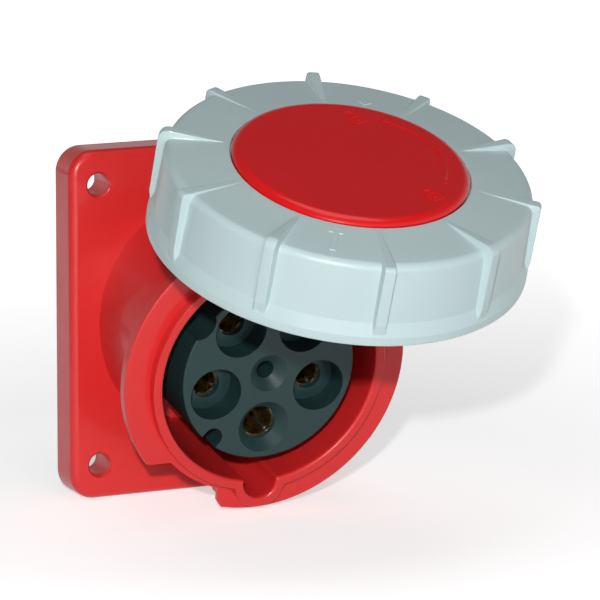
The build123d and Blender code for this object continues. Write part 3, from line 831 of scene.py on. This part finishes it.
DIRECT = ("Is Camera Ray", "Is Glossy Ray", "Is Transmission Ray")
floor_paint = bpy.data.materials.new("floor_paint")
floor_paint.use_nodes = True
tree = floor_paint.node_tree
paint = tree.nodes["Principled BSDF"]
paint.inputs["Base Color"].default_value = (FLOOR_WHITE, FLOOR_WHITE, FLOOR_WHITE, 1)
paint.inputs["Roughness"].default_value = 0.9
paint.inputs["Emission Color"].default_value = (1, 1, 1, 1)
place = tree.nodes.new("ShaderNodeTexCoord")
distance = tree.nodes.new("ShaderNodeVectorMath")
distance.operation = "LENGTH"
tree.links.new(place.outputs["Object"], distance.inputs[0])
away = (FLOOR_NEAR, FLOOR_FAR)
glow = ramp(tree, distance.outputs["Value"], away, (FLOOR_GLOW_NEAR, FLOOR_GLOW_FAR))
across = tree.nodes.new("ShaderNodeSeparateXYZ")
tree.links.new(place.outputs["Object"], across.inputs["Vector"])
paper = ramp(tree, across.outputs["X"], (PAPER_END, PAPER_EDGE), (BEYOND_PAPER, 1.0))
glow = product(tree, glow, paper)
tree.links.new(product(tree, seen_directly(tree, *DIRECT), glow), paint.inputs["Emission Strength"])
floor.data.materials.append(floor_paint)

# The room round the paper. The camera sees it white, and the pieces see it darken overhead and to
# the left, so that their upper and left faces mirror something dark, as in the photograph.
ROOM_LIGHT = 0.22
ROOM_DARK = 0.10
DARK_FROM = 0.62
SIDE_LIGHT = -0.45
SIDE_DARK = -0.8
SIDE_SHARE = 0.25
world = bpy.data.worlds.new("white_room")
world.use_nodes = True
bpy.context.scene.world = world
tree = world.node_tree
background = tree.nodes["Background"]
background.inputs["Color"].default_value = (1, 1, 1, 1)
direction = tree.nodes.new("ShaderNodeTexCoord")
towards = tree.nodes.new("ShaderNodeSeparateXYZ")
tree.links.new(direction.outputs["Generated"], towards.inputs["Vector"])
fade = ramp(tree, towards.outputs["Z"], (0.0, DARK_FROM), (1.0, ROOM_DARK))
left = ramp(tree, towards.outputs["X"], (SIDE_DARK, SIDE_LIGHT), (SIDE_SHARE, 1.0))
fade = product(tree, fade, left)
share = ramp(tree, seen_directly(tree, *DIRECT), (0, 1), (ROOM_LIGHT, 1.0))
strength = tree.nodes.new("ShaderNodeMath")
strength.operation = "MAXIMUM"
tree.links.new(product(tree, fade, share), strength.inputs[0])
tree.links.new(seen_directly(tree, "Is Camera Ray"), strength.inputs[1])
tree.links.new(strength.outputs["Value"], background.inputs["Strength"])

# The lamps, which all look at the same point of the socket: a small bright one close above the
# camera, as in the photograph, a wide soft one in front and one overhead. Bearings are in degrees
# from the front, distances and lamp sizes in metres.
AIM = Vector((0.01446, -0.04885, 0.01065))


def bearing(azimuth, elevation):
    """The direction from the socket to a place at a bearing from the front."""
    a, e = radians(azimuth), radians(elevation)
    return Vector((sin(a) * cos(e), -cos(a) * cos(e), sin(e)))


def lamp(name, azimuth, elevation, distance, size, watts):
    """A square lamp that looks at the socket, placed by its bearing."""
    back = bearing(azimuth, elevation)
    data = bpy.data.lights.new(name, "AREA")
    data.shape = "SQUARE"
    data.size = size
    data.energy = watts
    piece = bpy.data.objects.new(name, data)
    piece.location = AIM + back * distance
    piece.rotation_euler = back.to_track_quat("Z", "Y").to_euler()
    bpy.context.scene.collection.objects.link(piece)


lamp("key_lamp", -26.5, 16.3, 1.45, 0.035, 15.0)
lamp("front_lamp", -12.0, 3.0, 1.3, 0.7, 3.0)
lamp("top_lamp", 0.0, 75.0, 1.6, 1.0, 3.8)

# The camera, at the photograph's angle and distance. Its focal length is given in pixels of the
# picture's width.
CAMERA_AZIMUTH = -24.53
CAMERA_ELEVATION = 11.18
CAMERA_ROLL = 0.18
CAMERA_DISTANCE = 1.4455
FRAME_WIDTH = 600
FOCAL_PIXELS = 4625.6
azimuth, roll = radians(CAMERA_AZIMUTH), radians(CAMERA_ROLL)
back = bearing(CAMERA_AZIMUTH, CAMERA_ELEVATION)
level = Vector((cos(azimuth), sin(azimuth), 0))
upright = back.cross(level)
right = cos(roll) * level + sin(roll) * upright
up = -sin(roll) * level + cos(roll) * upright
camera_data = bpy.data.cameras.new("camera")
camera_data.sensor_width = 36.0
camera_data.lens = FOCAL_PIXELS * camera_data.sensor_width / FRAME_WIDTH
camera = bpy.data.objects.new("camera", camera_data)
turn = Matrix((right, up, back)).transposed().to_4x4()
camera.matrix_world = Matrix.Translation(AIM + back * CAMERA_DISTANCE) @ turn
bpy.context.scene.collection.objects.link(camera)
bpy.context.scene.camera = camera
bpy.context.scene.view_settings.view_transform = "Standard"
